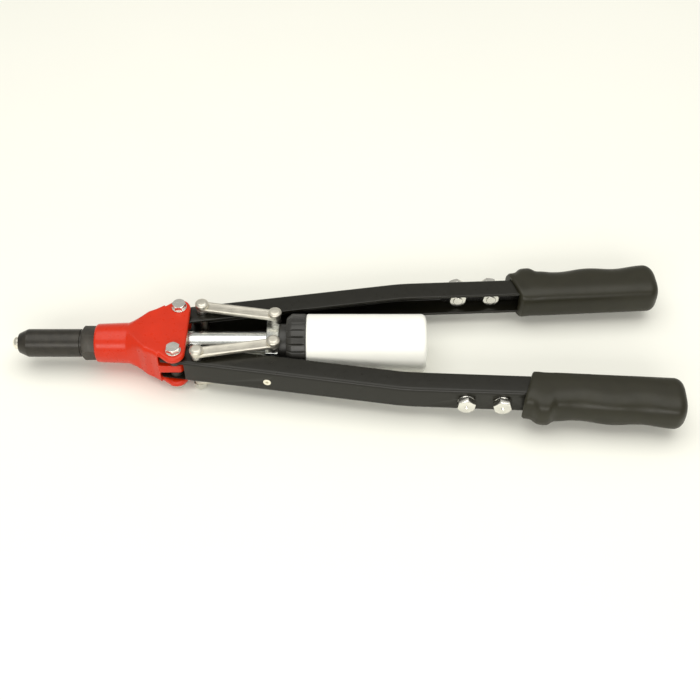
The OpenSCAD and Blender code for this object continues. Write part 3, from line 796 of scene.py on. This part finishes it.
def make_arms():
    channel, grip, tongue = channel_mesh(), grip_mesh(), tongue_mesh()
    for side, sign in SIDES:
        body = side + "_arm"
        arm, rear = on_arm(sign), on_rear(sign)
        piece(side + "_channel_pressed", placed(channel.copy(), arm), body, [body + "_channel"],
              MATERIAL["black_paint"])
        piece(side + "_grip_moulded", placed(grip.copy(), rear), body, [side + "_grip"],
              MATERIAL["grip_rubber"], 60)
        piece(side + "_tongue_bar", placed(tongue.copy(), rear), body, [side + "_grip_tongue"],
              MATERIAL["black_paint_inner"])
        bolts = []
        nuts = []
        for x in GRIP_BOLTS:
            collar = lathe(fillet([(0, 0), (0, 6.8, 0.4), (1.2, 6.6, 0.6), (1.2, 0)], False), 64)
            shank = lathe(fillet([(-13.9, 0), (-13.9, M8_R, 0.6), (0.5, M8_R), (0.5, 0)], False), 48)
            head = placed(hexagon(M8_AF, 5.3, dimple=1.5), turn(38 if x < 60 else 12, "X"), shift(1.2))
            bolts.append(placed(together(collar, shank, head), OUTWARD, shift(x)))
            nut = hexagon(M8_AF, 6.5, hole=M8_R + FIT)
            nuts.append(placed(nut, turn(20, "X"), turn(-90, "Z"), shift(x, -ARM_WALL - TONGUE_T)))
        for name, made in (("bolts", bolts), ("nuts", nuts)):
            piece(f"{side}_grip_{name}_hex", placed(together(*made), rear), body, [f"{side}_grip_{name}"],
                  MATERIAL["zinc_bolt"], 30)
        stop = lathe(fillet([(-BUMPER_LEN, 0), (-BUMPER_LEN, 5, 1.2), (0, 5, 0.3), (0, 2.52), (-10, 2.52),
                             (-10, 0)], False), 48)
        rivet = lathe(fillet([(-10.4, 1.2), (-10.4, 2.5, 0.3), (0, 2.5), (0, 3.2, 0.2), (0.7, 3.0, 0.5),
                              (0.7, 1.2, 0.3)]), 48)
        at = shift(RIVET_X, FACE_Y)
        piece(side + "_bumper_rubber", placed(stop, shift(-ARM_WALL), OUTWARD, at, arm), body,
              [side + "_bumper"], MATERIAL["seal_rubber"])
        piece(side + "_rivet_hollow", placed(rivet, OUTWARD, at, arm), body, [side + "_bumper_rivet"],
              MATERIAL["rivet_cream"])


# ---- Links, crosshead and tube ----

def pin_head():
    """A low round head with a domed top."""
    return lathe(fillet([(0, 0), (0, 5.4, 0.3), (2.6, 5.4, 1.2), (4.1, 3.4, 1.5), (4.1, 0)], False), 64)


def make_links():
    link_length = (Vector(on_arm(1) @ Vector((*LINK_ON_ARM, 0))) - Vector(CROSS_PIN)).length
    front = on_arm(1) @ Vector((*LINK_ON_ARM, 0))
    angle = math.degrees(math.atan2(front.y - CROSS_PIN[1], front.x - CROSS_PIN[0]))
    outline = arc((0, 0), LINK_W / 2, 90, 270, 20) + arc((link_length, 0), LINK_W / 2, -90, 90, 20)
    holes = [arc((0, 0), M6_R + SLIP, 0, 345, 23), arc((link_length, 0), M6_R + FIT, 0, 345, 23)]
    low = node_box("left_link_bolt")[0][2]
    for side, sign in SIDES:
        at = shift(CROSS_PIN[0], CROSS_PIN[1]) @ turn(angle, "Z")
        at = at if sign > 0 else MIRROR @ at
        body = side + "_links"
        for level, z0, z1 in (("upper", LINK_BOTTOM, LINK_TOP), ("lower", -LINK_TOP, -LINK_BOTTOM)):
            bar = plate(outline, z0, z1, 0.35, holes)
            piece(f"{side}_link_{level}_bar", placed(bar, at), body, [f"{side}_link_{level}"],
                  MATERIAL["link_zinc"])
        shank = lathe(fillet([(low, 0), (low, M6_R, 0.5), (LINK_TOP, M6_R), (LINK_TOP, 0)], False), 48)
        bolt = together(placed(shank, UPRIGHT), placed(pin_head(), UPRIGHT, shift(z=LINK_TOP)))
        piece(side + "_link_bolt_round", placed(bolt, shift(link_length), at), body, [side + "_link_bolt"],
              MATERIAL["link_zinc"])
        rings = together(washer(ARM_TOP + 0.15, LINK_BOTTOM - SLIP, 4.7, M6_HOLE_R),
                         washer(SLIP - LINK_BOTTOM, -ARM_TOP - 0.15, 4.7, M6_HOLE_R))
        piece(side + "_link_spacer_rings", placed(rings, shift(link_length), at), body,
              [side + "_link_spacers"], MATERIAL["bare_steel"])
        nut = placed(hexagon(M6_AF, M6_NUT, hole=M6_R + FIT), turn(180, "Z"), turn(10, "X"), UPRIGHT,
                     shift(z=-LINK_TOP))
        piece(side + "_link_nut_hex", placed(nut, shift(link_length), at), body, [side + "_link_nut"],
              MATERIAL["zinc_bolt"], 30)


def make_draw_bar():
    body = "draw_bar"
    x0, x1 = x_range("draw_tube")
    tube = lathe(fillet([(x0, 4.5, 0.3), (x0, 6, 0.5), (98, 6), (98, TUBE_R, 0.8), (x1, TUBE_R, 0.3),
                         (x1, 4.5, 0.3)]))
    piece("draw_tube_turned", tube, body, ["draw_tube"], MATERIAL["zinc_tube"])

    b0, b1 = node_box("crosshead")
    block = plate(fillet([(b0[0], b0[1], 1), (b1[0], b0[1], 1), (b1[0], b1[1], 1), (b0[0], b1[1], 1)]),
                  b0[2], b1[2], 0.7)
    block = combined("DIFFERENCE", block, rod(b0[0] - 1, b1[0] + 1, TUBE_R + FIT),
                     *[placed(rod(-15, 15, M6_R + FIT, 32), UPRIGHT, shift(CROSS_PIN[0], y))
                       for y in (CROSS_PIN[1], -CROSS_PIN[1])])
    piece("crosshead_block", block, body, ["crosshead"], MATERIAL["zinc_tube"])

    lift = LINK_TOP + SLIP
    low = node_box("crosshead_bolts")[0][2]
    for side, sign in SIDES:
        at = shift(CROSS_PIN[0], sign * CROSS_PIN[1])
        shank = lathe(fillet([(low, 0), (low, M6_R, 0.5), (lift, M6_R), (lift, 0)], False), 48)
        bolt = together(placed(shank, UPRIGHT), placed(pin_head(), UPRIGHT, shift(z=lift)))
        nut = placed(hexagon(M6_AF, M6_NUT, hole=M6_R + FIT), turn(180, "Z"), turn(25, "X"), UPRIGHT,
                     shift(z=-lift))
        rings = together(washer(b1[2], LINK_BOTTOM - SLIP, 4.6, M6_HOLE_R),
                         washer(SLIP - LINK_BOTTOM, b0[2], 4.6, M6_HOLE_R))
        fixed = (("crosshead_bolt_" + side, bolt, "crosshead_bolts", "link_zinc"),
                 ("crosshead_nut_" + side, nut, "crosshead_nuts", "zinc_bolt"),
                 ("crosshead_spacers_" + side, rings, "crosshead_spacers", "bare_steel"))
        for name, mesh, node, slot in fixed:
            piece(name, placed(mesh, at), body, [node], MATERIAL[slot], 30)


# ---- Mandrel catcher ----

CAP_RIBS = 24


def make_catcher():
    x0, x1 = x_range("catcher_cap")

    def ribbed(x, r, a):
        """Shallow flutes along the collar, fading out at its edges."""
        if r < CAP_R - 1.2:
            return r
        fade = min(1, max(0, (x - COLLAR_X - 1.2) / 0.8), max(0, (x1 - 1.0 - x) / 0.8))
        groove = max(0, 1 - abs(math.sin(CAP_RIBS * a / 2)) / 0.42)
        return r - 1.1 * fade * groove

    rows = [(COLLAR_X + 1.2 + (x1 - COLLAR_X - 2) * k / 12, CAP_R) for k in range(1, 12)]
    profile = fillet([(x0, TUBE_R + FIT), (x0, BOSS_R, 1), (COLLAR_X, BOSS_R, 1.2), (COLLAR_X, CAP_R, 1.4)])
    inside = fillet([(0, 0), (x1, CAP_R, 0.6), (x1, CAP_CAVITY_R, 0.4), (CAP_CAVITY_X, CAP_CAVITY_R, 0.5),
                     (CAP_CAVITY_X, TUBE_R + FIT)], False)
    profile = profile[:-1] + rows + inside[1:]
    piece("catcher_cap_ribbed", lathe(profile, CAP_RIBS * 20, ribbed), "draw_bar", ["catcher_cap"],
          MATERIAL["cap_plastic"])

    b0, b1 = x_range("catcher_bottle")
    shoulder = 236.7
    wall = 1.6
    neck = 19.9
    r = BOTTLE_R
    inside_x = shoulder + 4
    profile = fillet([(b0, neck - wall, 0.4), (b0, neck, 0.4), (shoulder, neck, 0.8), (shoulder, r, 4.2),
                      (b1, r, 4.5), (b1, r - 8, 1.5), (b1 - 1.2, r - 9.2, 1.5), (b1 - 1.2, 0), (b1 - 3, 0),
                      (b1 - 3, r - 9), (b1 - 2, r - wall, 3), (inside_x, r - wall, 2),
                      (inside_x, neck - wall, 1)], step=8)
    piece("catcher_bottle_blown", lathe(profile, 128), "bottle", ["catcher_bottle"],
          MATERIAL["bottle_plastic"], 60)


# ---- Inner pieces that keep their CAD shape ----

INNER = {"jaw_case": "hardened_steel", "jaw_1": "hardened_steel", "jaw_2": "hardened_steel",
         "jaw_3": "hardened_steel", "jaw_pusher": "hardened_steel", "jaw_spring": "spring_steel",
         "bottle_seal": "seal_rubber"}


def finish_inner():
    for node, slot in INNER.items():
        mesh = frame["nodes"][node].data
        mesh.materials.clear()
        mesh.materials.append(MATERIAL[slot])
        mesh.shade_smooth()
        mesh.set_sharp_from_angle(angle=math.radians(35))


stand_camera()
lay_table()
light_scene()
make_nose()
make_casting()
make_pivots()
make_arms()
make_links()
make_draw_bar()
make_catcher()
finish_inner()
